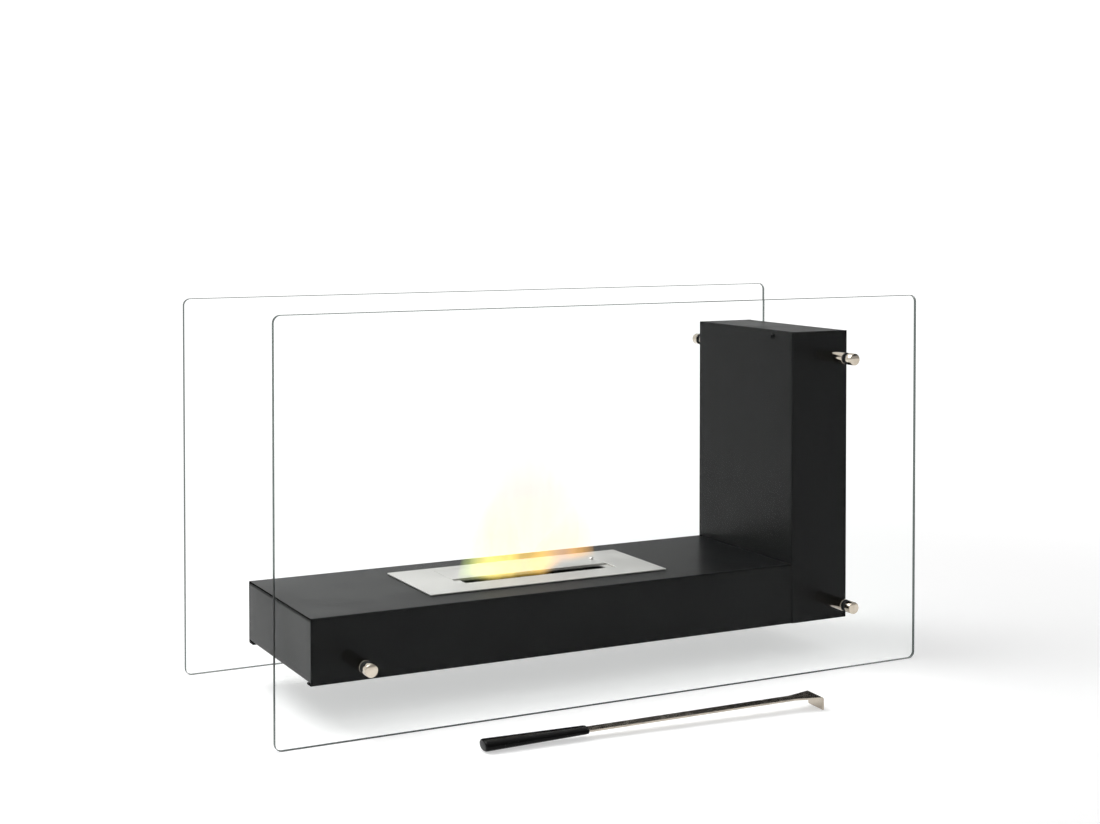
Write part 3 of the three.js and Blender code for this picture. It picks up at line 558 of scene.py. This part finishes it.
def reach_of(node, outwards):
    """Start of a node nearest the body, on its axis, with its length and radius in millimetres."""
    low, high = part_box(node)
    start = ((low.x + high.x) / 2, low.y if outwards > 0 else high.y, (low.z + high.z) / 2)
    return start, (high.y - low.y) / MILLIMETRE, (high.x - low.x) / MILLIMETRE / 2


for side, outwards in (("front", -1), ("rear", 1)):
    for place in ("lower_left", "lower_right", "upper_right"):
        where = f"{side}_{place}"
        along = (0, outwards, 0)

        start, length, radius = reach_of(f"standoff_barrel_{where}", outwards)
        barrel_profile = [
            (0, BORE_DEPTH),
            (BORE_RADIUS, BORE_DEPTH),
            (BORE_RADIUS, 0),
            (radius - BARREL_EDGE, 0),
            (radius, BARREL_EDGE),
            (radius, length - BARREL_EDGE),
            (radius - BARREL_EDGE, length),
            (BORE_RADIUS, length),
            (BORE_RADIUS, length - BORE_DEPTH),
            (0, length - BORE_DEPTH),
        ]
        barrel = (f"barrel_{where}", barrel_profile, start, along)
        turned(*barrel, "fireplace_frame", f"standoff_barrel_{where}", nickel, "nickel")

        start, length, radius = reach_of(f"standoff_cap_{where}", outwards)
        seat = length - CAP_LENGTH
        cap_profile = [
            (0, 0),
            (STUD_RADIUS, 0),
            (STUD_RADIUS, seat),
            (radius - BARREL_EDGE, seat),
            (radius, seat + BARREL_EDGE),
            (radius, length - CAP_EDGE),
            (radius - 0.3 * CAP_EDGE, length - 0.3 * CAP_EDGE),
            (radius - CAP_EDGE, length),
            (0, length),
        ]
        cap = (f"cap_{where}", cap_profile, start, along)
        turned(*cap, "fireplace_frame", f"standoff_cap_{where}", nickel, "nickel")

        for ring in ("inner", "outer"):
            start, length, radius = reach_of(f"{ring}_washer_{where}", outwards)
            ring_profile = [
                (BORE_RADIUS, 0),
                (radius - RING_EDGE, 0),
                (radius, RING_EDGE),
                (radius, length - RING_EDGE),
                (radius - RING_EDGE, length),
                (BORE_RADIUS, length),
                (BORE_RADIUS, 0),
            ]
            washer = (f"{ring}_ring_{where}", ring_profile, start, along)
            turned(*washer, "fireplace_frame", f"{ring}_washer_{where}", rubber, "rubber")

        painted(nodes[f"standoff_screw_{where}"], zinc)

# ---------------------------------------------------------------------------------------------
# Burner: a stainless flange, brushed along its length, with the window that the lid lies in.
# Under it hang the tray with the flame's mouth, the fuel tank, a ceramic block and a grid.
# ---------------------------------------------------------------------------------------------

WINDOW_LENGTH = 0.2015
WINDOW_DEPTH = 0.078
WINDOW_FROM_LEFT = 0.0525
WINDOW_FROM_FRONT = 0.037
WINDOW_CORNER = 0.001
FLANGE_CORNER = 0.0015
PLATE_EDGE = 0.0003
CORNER_STEPS = 6

STAINLESS_COLOUR = (0.79, 0.78, 0.75, 1)
STAINLESS_STREAK_COLOUR = (0.69, 0.68, 0.655, 1)
STAINLESS_STREAKS = 0.9
STAINLESS_ROUGHNESS = (0.3, 0.38)  # clean and fingered
STAINLESS_SCRATCH_ROUGHNESS = 0.12
# Tank and grid: heat tint and soot, made darker still as painted shade of the recess under the mouth.
SOOT_AND_SHADE_COLOUR = (0.035, 0.032, 0.028, 1)
HEAT_TINT_AND_SHADE_COLOUR = (0.09, 0.08, 0.065, 1)
HEATED_ROUGHNESS = (0.4, 0.75)  # clean and sooted
CERAMIC_COLOUR = (0.5, 0.47, 0.42, 1)
CERAMIC_SCORCH_COLOUR = (0.09, 0.075, 0.06, 1)
CERAMIC_ROUGHNESS = (0.85, 1.0)

# Brush marks: long streaks along X, one pitch apart, with the given length.
brushing, given, gives = effect(
    "brushing", {"Pitch": 0.3, "Length": 60.0, "Depth": 0.002}, {"Share": "Float", "Normal": "Vector"}
)
spot = add(brushing, "TexCoord").outputs["Object"]
crosswise = maths(brushing, "DIVIDE", 1 / MILLIMETRE, given["Pitch"])
lengthwise = maths(brushing, "DIVIDE", 1 / MILLIMETRE, given["Length"])
stretch = add(brushing, "CombineXYZ", {"X": lengthwise, "Y": crosswise, "Z": crosswise}).outputs[0]
drawn = add(brushing, "VectorMath", {0: spot, 1: stretch}, operation="MULTIPLY").outputs[0]
streaks = add(brushing, "TexNoise", {"Vector": drawn, "Scale": 1.0, "Detail": 3.0, "Roughness": 0.6})
depth = maths(brushing, "MULTIPLY", given["Depth"], MILLIMETRE)
raised = add(brushing, "Bump", {"Height": streaks.outputs[0], "Distance": depth, "Strength": 1.0})
brushing.links.new(streaks.outputs[0], gives["Share"])
brushing.links.new(raised.outputs[0], gives["Normal"])

stainless, tree, shader = material("brushed_stainless", {"Metallic": 1.0})
brushed = use(tree, brushing, Pitch=0.35, Length=45, Depth=0.006)
fingered = use(tree, handling, Size=45)["Share"]
streaked = maths(tree, "MULTIPLY", brushed["Share"], STAINLESS_STREAKS)
steel_tone = tinted(tree, streaked, STAINLESS_COLOUR, STAINLESS_STREAK_COLOUR)
tree.links.new(steel_tone, shader.inputs["Base Color"])
scratched = maths(tree, "MULTIPLY", brushed["Share"], STAINLESS_SCRATCH_ROUGHNESS)
rough = maths(tree, "ADD", blended(tree, fingered, *STAINLESS_ROUGHNESS), scratched)
tree.links.new(rough, shader.inputs["Roughness"])
tree.links.new(brushed["Normal"], shader.inputs["Normal"])

# Heat tint and soot patches, both kept dark as painted shade of the recess under the mouth.
heated_and_shaded, tree, shader = material("heated_and_shaded_stainless", {"Metallic": 1.0})
sooted = use(tree, handling, Size=70)["Share"]
tree.links.new(tinted(tree, sooted, HEAT_TINT_AND_SHADE_COLOUR, SOOT_AND_SHADE_COLOUR), shader.inputs["Base Color"])
tree.links.new(blended(tree, sooted, *HEATED_ROUGHNESS), shader.inputs["Roughness"])
tree.links.new(use(tree, grain, Size=0.8, Depth=0.02)["Normal"], shader.inputs["Normal"])

ceramic, tree, shader = material("porous_ceramic", {})
scorched = use(tree, handling, Size=30)["Share"]
pores = use(tree, grain, Size=1.6, Depth=0.25)
tree.links.new(tinted(tree, scorched, CERAMIC_COLOUR, CERAMIC_SCORCH_COLOUR), shader.inputs["Base Color"])
tree.links.new(blended(tree, pores["Share"], *CERAMIC_ROUGHNESS), shader.inputs["Roughness"])
tree.links.new(pores["Normal"], shader.inputs["Normal"])

burner_finishes = {
    "burner_tray": stainless,
    "burner_tank": heated_and_shaded,
    "wick_grid": heated_and_shaded,
    "ceramic_block": ceramic,
}
for part, finish in burner_finishes.items():
    painted(nodes[part], finish)


def rounded_rectangle(west, south, east, north, corner):
    """Outline with corner arcs  centre + corner (cos t, sin t),  t through a quarter turn each."""
    quarter = np.arange(4)[:, None] * pi / 2 + np.linspace(0, pi / 2, CORNER_STEPS + 1)
    x = np.array([east - corner, west + corner, west + corner, east - corner])[:, None]
    y = np.array([north - corner, north - corner, south + corner, south + corner])[:, None]
    return np.stack([x + corner * np.cos(quarter), y + corner * np.sin(quarter)], -1).reshape(-1, 2)


def plate(name, rings, ring_shaped, body, node, finish):
    """A flat plate as a stack of outlines: row i is the outline rings[i][0] at height rings[i][1].
    A ring-shaped plate's last row joins its first; any other starts and ends in a closed seam."""
    points = np.stack([np.column_stack([line, np.full(len(line), z)]) for line, z in rings])
    faces = grid_faces(*points.shape[:2], rows_close=ring_shaped, columns_close=True)
    piece = rounded_edges(piece_from(name, points, faces), 0)
    painted(piece, finish)
    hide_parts(node)
    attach(piece, body)
    return piece


def edge_rows(outline, low, high, grow):
    """Rows up one edge of a plate, whose corners are rounded by the plate's edge radius. grow is
    1 where the outline's material lies inside it, -1 where it lies outside, as at a window."""
    west, south, east, north, corner = outline
    bend = np.linspace(0, pi / 2, 4)
    inset = PLATE_EDGE * (1 - np.cos(bend)) * grow
    rise = PLATE_EDGE * (1 - np.sin(bend))

    def line(d):
        return rounded_rectangle(west + d, south + d, east - d, north - d, max(corner - d, 1e-5))

    lower = [(line(d), low + z) for d, z in zip(inset[::-1], rise[::-1])]
    upper = [(line(d), high - z) for d, z in zip(inset, rise)]
    return lower + upper


low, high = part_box("burner_flange")
window_west = low.x + WINDOW_FROM_LEFT
window_south = low.y + WINDOW_FROM_FRONT
window = (window_west, window_south, window_west + WINDOW_LENGTH, window_south + WINDOW_DEPTH, WINDOW_CORNER)
flange = (low.x, low.y, high.x, high.y, FLANGE_CORNER)
rim_rows = edge_rows(flange, low.z, high.z, 1)
window_rows = edge_rows(window, low.z, high.z, -1)
plate("flange_plate", rim_rows + window_rows[::-1], True, "burner", "burner_flange", stainless)

# ---------------------------------------------------------------------------------------------
# Lid: a brushed stainless plate, flush in the flange's window, shown slid back. The tool's blade
# pushes on the domed stud riveted into its right end, to choke or put out the flame.
# ---------------------------------------------------------------------------------------------

STUD_HEAD_RADIUS = 3.0
STUD_HEAD_FOOT = 0.3  # underside of the head over the lid
STUD_DOME_START = 0.15 * pi
STUD_SHANK_RADIUS = 1.5

low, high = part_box("slider_lid")
lid_outline = (low.x, low.y, high.x, high.y, WINDOW_CORNER)
half = (high.y - low.y) / 2
seam = rounded_rectangle(low.x + half, low.y + half, high.x - half, low.y + half, 0)
lid_rows = [(seam, low.z), *edge_rows(lid_outline, low.z, high.z, 1), (seam, high.z)]
plate("lid_plate", lid_rows, False, "lid", "slider_lid", stainless)

lid_top = high.z
low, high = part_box("lid_stud")
stud_height = (high.z - lid_top) / MILLIMETRE
arch = np.linspace(STUD_DOME_START, pi / 2, 9)
stud_profile = [
    (0, (low.z - lid_top) / MILLIMETRE),
    (STUD_SHANK_RADIUS, (low.z - lid_top) / MILLIMETRE),
    (STUD_SHANK_RADIUS, STUD_HEAD_FOOT),
    *[(STUD_HEAD_RADIUS * cos(t), stud_height * sin(t)) for t in arch],
]
stud_foot = ((low.x + high.x) / 2, (low.y + high.y) / 2, lid_top)
turned("stud_head", stud_profile, stud_foot, (0, 0, 1), "lid", "lid_stud", stainless, "stainless")

# ---------------------------------------------------------------------------------------------
# Flame: tongues of burning vapour that stand over the mouth, a pale cream above and yellow to
# orange at the foot. Closing the lid puts them out.
# ---------------------------------------------------------------------------------------------

FLAME_FOOT = 0.108
FLAME_LINE = 0.149  # depth of the mouth's middle line, a little to the rear
FLAME_ROWS = 56
FLAME_COLUMNS = 48

# middle x, width, height, lean to the right, bend, depth, all in millimetres
TONGUES = {
    "flame_middle": (-50, 146, 212, 22, 9, 21),
    "flame_left": (-96, 80, 112, 24, 5, 17),
    "flame_right": (2, 92, 84, 14, -8, 17),
}

FLAME_GLOW = 3.4  # to the camera
FLAME_LIGHT = 1.2  # on what stands round it, and in reflections
REFLECTED_VEIL = 0.3  # share of the veil that a reflection or a shadow finds

# Colours along the foot, by place in millimetres: green-yellow, yellow, orange, a dim gap, orange.
FOOT_COLOURS = {
    -122: (0.55, 0.72, 0.2),
    -92: (1.0, 0.8, 0.2),
    -30: (1.0, 0.6, 0.12),
    0: (0.5, 0.3, 0.2),
    26: (1.0, 0.5, 0.1),
}
TOP_COLOUR = (0.27, 0.195, 0.105)
TOP_START = 22  # height over the foot, in millimetres, from which the foot's colour turns to the top's
TOP_SPAN = 80  # millimetres over which it turns
FOOT_VEIL = 0.15
TOP_VEIL = 0.14
SIDE_FADE = 1.4  # power of |sin a| by which the veil thins towards a tongue's sides
TIP_FADE = 0.5  # share of a tongue's height over which its tip fades
FADE_IN = 7  # millimetres over which the foot becomes visible
FLAME_SWELL = 1.25
WISP_SCALE = (60, 60, 11)  # wisps per metre, drawn out upwards
WISP_EDGES = (0.25, 0.7)
WISP_VEIL = (0.7, 1.0)  # share of the veil between and in the wisps

# Height over the foot at which the flame becomes visible, by place, all in millimetres.
FOOT_HEIGHTS = {-110: 8, -90: 5, -25: 5, 0: 17, 50: 20}

flame_gas, tree, shader = material("flame_gas", {"Roughness": 1.0, "Specular IOR Level": 0.0})
shader.inputs["Base Color"].default_value = (0, 0, 0, 1)
watched = looked_at(tree, "Camera", "Transmission")
tree.links.new(blended(tree, watched, FLAME_LIGHT, FLAME_GLOW), shader.inputs["Emission Strength"])
hue = add(tree, "Attribute", attribute_name="flame_hue").outputs
veil = add(tree, "Attribute", attribute_name="flame_veil").outputs
spot = add(tree, "TexCoord").outputs["Object"]
rising = add(tree, "VectorMath", {0: spot, 1: WISP_SCALE}, operation="MULTIPLY").outputs[0]
wisps = add(tree, "TexNoise", {"Vector": rising, "Scale": 1.0, "Detail": 2.0, "Distortion": 0.8}).outputs[0]
thin = maths(tree, "MULTIPLY", veil["Fac"], stepped(tree, wisps, *WISP_EDGES, *WISP_VEIL))
thin = maths(tree, "MULTIPLY", thin, blended(tree, watched, REFLECTED_VEIL, 1.0))
tree.links.new(hue["Color"], shader.inputs["Emission Color"])
tree.links.new(thin, shader.inputs["Alpha"])


def tongue(name, middle, width, height, lean, bend, depth):
    """A pointed, swaying body: at share v of its height its section is an oval of half axes
    w/2 s and d/2 (0.75 + 0.35 v) s, where s = 1.25 (1 - v)^0.75 (0.72 + 1.1 v - 0.9 v^2). Its
    middle is at x = middle + lean v^1.4 + bend v sin(2 pi v) and y = 0.12 bend sin(3 pi v). The
    veil thins to its sides by a power of |sin a|, to its tip, and down to its visible foot."""
    v = np.concatenate([[0], np.linspace(0, 1, FLAME_ROWS)])[:, None]
    a = np.linspace(0, 2 * pi, FLAME_COLUMNS, endpoint=False)[None, :]
    swell = (1 - v) ** 0.75 * (0.72 + 1.1 * v - 0.9 * v**2) * FLAME_SWELL
    # The first row has no width, and closes the foot.
    swell[0] = 0
    x = middle + lean * v**1.4 + bend * np.sin(2 * pi * v) * v + width / 2 * swell * np.cos(a)
    y = depth / 2 * (0.75 + 0.35 * v) * swell * np.sin(a) + 0.12 * bend * np.sin(3 * pi * v)
    z = height * v + 0 * a
    points = np.stack([x, y, z], -1) * MILLIMETRE + (0, FLAME_LINE, FLAME_FOOT)
    piece = piece_from(name, points, grid_faces(*points.shape[:2], columns_close=True), closed=False)
    across = np.abs(np.sin(a)) ** SIDE_FADE
    start = np.interp(x, list(FOOT_HEIGHTS), list(FOOT_HEIGHTS.values()))
    rise = np.clip((z - start) / FADE_IN, 0, 1) * np.clip((1 - v) / TIP_FADE, 0, 1)
    share = np.clip((z - TOP_START) / TOP_SPAN, 0, 1)
    strength = (FOOT_VEIL + (TOP_VEIL - FOOT_VEIL) * share) * across * rise
    colour = np.ones((*x.shape, 4))
    for channel, top in enumerate(TOP_COLOUR):
        foot = np.interp(x, list(FOOT_COLOURS), [tone[channel] for tone in FOOT_COLOURS.values()])
        colour[..., channel] = foot + (top - foot) * share
    attributes = piece.data.attributes
    attributes.new("flame_hue", "FLOAT_COLOR", "POINT").data.foreach_set("color", colour.ravel())
    attributes.new("flame_veil", "FLOAT", "POINT").data.foreach_set("value", strength.ravel())
    sealed(piece.data)
    painted(piece, flame_gas)
    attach(piece, "burner")
    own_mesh(piece)


for name, sizes in TONGUES.items():
    tongue(name, *sizes)

# ---------------------------------------------------------------------------------------------
# Tool: a flat steel strip, widened and folded down into a blade at its end, in a tapered oval
# handle of gloss black plastic. It lies on the floor on its butt and on the blade's lower edge.
# ---------------------------------------------------------------------------------------------

TOOL_LENGTH = 390
GRIP_LENGTH = 114
GRIP_BUTT = (22, 12)  # width and height
GRIP_NOSE = (17.5, 8)
BUTT_ROUND = 3
BUTT_FLAT = 0.7  # share of the butt's width and height that is flat
NOSE_ROUND = 2.5
NOSE_LIP = 0.1
OVAL = 2.1  # 2 is an ellipse, more is squarer
SLOT_OVAL = 9
STRIP_WIDTH = 14
STRIP_THICKNESS = 2
STRIP_FOLD = 3
STRIP_EDGE = 0.25
TANG_LENGTH = 60
TANG_PLAY = 0.3
BLADE_WIDTH = 29
BLADE_HEIGHT = 14
FLARE_LENGTH = 28
TOOL_BUTT = (-214, -92)
TOOL_HEADING = radians(-3.5)

tool_tilt = asin((BLADE_HEIGHT - STRIP_THICKNESS / 2 - GRIP_BUTT[1] / 2) / (TOOL_LENGTH - BUTT_ROUND))


def lying(points):
    """Tool's own places, in millimetres, turned up by its tilt, then to its heading, in metres."""
    x, y, z = np.moveaxis(points, -1, 0)
    x, z = x * cos(tool_tilt) - z * sin(tool_tilt), x * sin(tool_tilt) + z * cos(tool_tilt)
    x, y = x * cos(TOOL_HEADING) - y * sin(TOOL_HEADING), x * sin(TOOL_HEADING) + y * cos(TOOL_HEADING)
    z = z + GRIP_BUTT[1] / 2 * cos(tool_tilt)
    return np.stack([x + TOOL_BUTT[0], y + TOOL_BUTT[1], z], -1) * MILLIMETRE


STRIP_COLOUR = (0.46, 0.41, 0.35, 1)
STRIP_STAIN_COLOUR = (0.36, 0.32, 0.27, 1)
STRIP_ROUGHNESS = (0.17, 0.25)
STRIP_STREAK_ROUGHNESS = 0.1
PLASTIC_COLOUR = (0.002, 0.002, 0.002, 1)
PLASTIC_HELD_COLOUR = (0.004, 0.004, 0.004, 1)
PLASTIC_ROUGHNESS = (0.06, 0.13)
PLASTIC_SHEEN = 0.09
GRIP_SHARP = 50  # degrees from which an edge of the grip is sharp

strip_steel, tree, shader = material("dull_strip_steel", {"Metallic": 1.0})
rolled = use(tree, brushing, Pitch=0.4, Length=80, Depth=0.001)
stained = use(tree, handling, Size=25)["Share"]
tree.links.new(tinted(tree, stained, STRIP_COLOUR, STRIP_STAIN_COLOUR), shader.inputs["Base Color"])
streaky = maths(tree, "MULTIPLY", rolled["Share"], STRIP_STREAK_ROUGHNESS)
rough = maths(tree, "ADD", blended(tree, stained, *STRIP_ROUGHNESS), streaky)
tree.links.new(rough, shader.inputs["Roughness"])
tree.links.new(rolled["Normal"], shader.inputs["Normal"])

tang_start = GRIP_LENGTH - TANG_LENGTH
strip_top = STRIP_THICKNESS / 2
strip_path = fold_path(
    [(TOOL_LENGTH, strip_top - BLADE_HEIGHT), (TOOL_LENGTH, strip_top), (tang_start, strip_top)], STRIP_FOLD
)
flare_end = TOOL_LENGTH - STRIP_FOLD
flare_stations = np.linspace(flare_end, flare_end - FLARE_LENGTH, 13)[:, None]
flare_path = np.hstack([flare_stations, np.full_like(flare_stations, strip_top)])
strip_path = np.vstack([strip_path[:-1], flare_path[1:], strip_path[-1:]])
flare = [flare_end - FLARE_LENGTH, flare_end]
half_width = np.interp(strip_path[:, 0], flare, [STRIP_WIDTH / 2, BLADE_WIDTH / 2])
across = np.linspace(1, -1, 9)
points = np.empty((len(strip_path), len(across), 3))
points[..., 0] = strip_path[:, None, 0]
points[..., 1] = half_width[:, None] * across
points[..., 2] = strip_path[:, None, 1]
strip = piece_from("tool_strip", lying(points), grid_faces(*points.shape[:2]), closed=False)
walled(strip, STRIP_THICKNESS * MILLIMETRE)
painted(rounded_edges(strip, STRIP_EDGE * MILLIMETRE), strip_steel)
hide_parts("tool_bar")
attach(strip, "tool")

gloss, tree, shader = material("gloss_black_plastic", {"Specular IOR Level": PLASTIC_SHEEN})
held = use(tree, handling, Size=18)["Share"]
tree.links.new(tinted(tree, held, PLASTIC_COLOUR, PLASTIC_HELD_COLOUR), shader.inputs["Base Color"])
tree.links.new(blended(tree, held, *PLASTIC_ROUGHNESS), shader.inputs["Roughness"])
tree.links.new(use(tree, grain, Size=2.5, Depth=0.003)["Normal"], shader.inputs["Normal"])


def ovals(stations, widths, heights, roundness):
    """Rows of ovals square to the tool: y = w/2 |cos a|^(2/n) sign, z = h/2 |sin a|^(2/n) sign."""
    a = np.linspace(0, 2 * pi, TURNED_STEPS, endpoint=False)
    power = 2 / np.array(roundness, float)[:, None]
    y = np.sign(np.cos(a)) * np.abs(np.cos(a)) ** power * np.array(widths)[:, None] / 2
    z = np.sign(np.sin(a)) * np.abs(np.sin(a)) ** power * np.array(heights)[:, None] / 2
    return np.stack([np.array(stations)[:, None] + 0 * a, y, z], -1)


butt = np.linspace(0, pi / 2, 8)
nose = np.linspace(0, pi / 2, 6)
straight = np.linspace(BUTT_ROUND, GRIP_LENGTH - NOSE_ROUND, 12)[1:-1]
nose_places = GRIP_LENGTH - NOSE_ROUND + NOSE_ROUND * np.sin(nose)
places = np.concatenate([[0], BUTT_ROUND * (1 - np.cos(butt)), straight, nose_places])
butt_girth = BUTT_FLAT + (1 - BUTT_FLAT) * np.sin(butt)
nose_girth = 1 - NOSE_LIP * (1 - np.cos(nose))
girth = np.concatenate([[0], butt_girth, np.ones(len(straight)), nose_girth])
widths = np.interp(places, [0, GRIP_LENGTH], [GRIP_BUTT[0], GRIP_NOSE[0]]) * girth
heights = np.interp(places, [0, GRIP_LENGTH], [GRIP_BUTT[1], GRIP_NOSE[1]]) * girth
slot_width = STRIP_WIDTH + 2 * TANG_PLAY
slot_height = STRIP_THICKNESS + 2 * TANG_PLAY
slot_end = tang_start - TANG_PLAY
places = [*places, GRIP_LENGTH, slot_end, slot_end]
widths = [*widths, slot_width, slot_width, 0]
heights = [*heights, slot_height, slot_height, 0]
roundness = [OVAL] * (len(places) - 3) + [SLOT_OVAL] * 3
points = lying(ovals(places, widths, heights, roundness))
grip = piece_from("tool_grip", points, grid_faces(*points.shape[:2], columns_close=True))
grip.data.set_sharp_from_angle(angle=radians(GRIP_SHARP))
painted(grip, gloss)
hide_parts("tool_handle")
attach(grip, "tool")
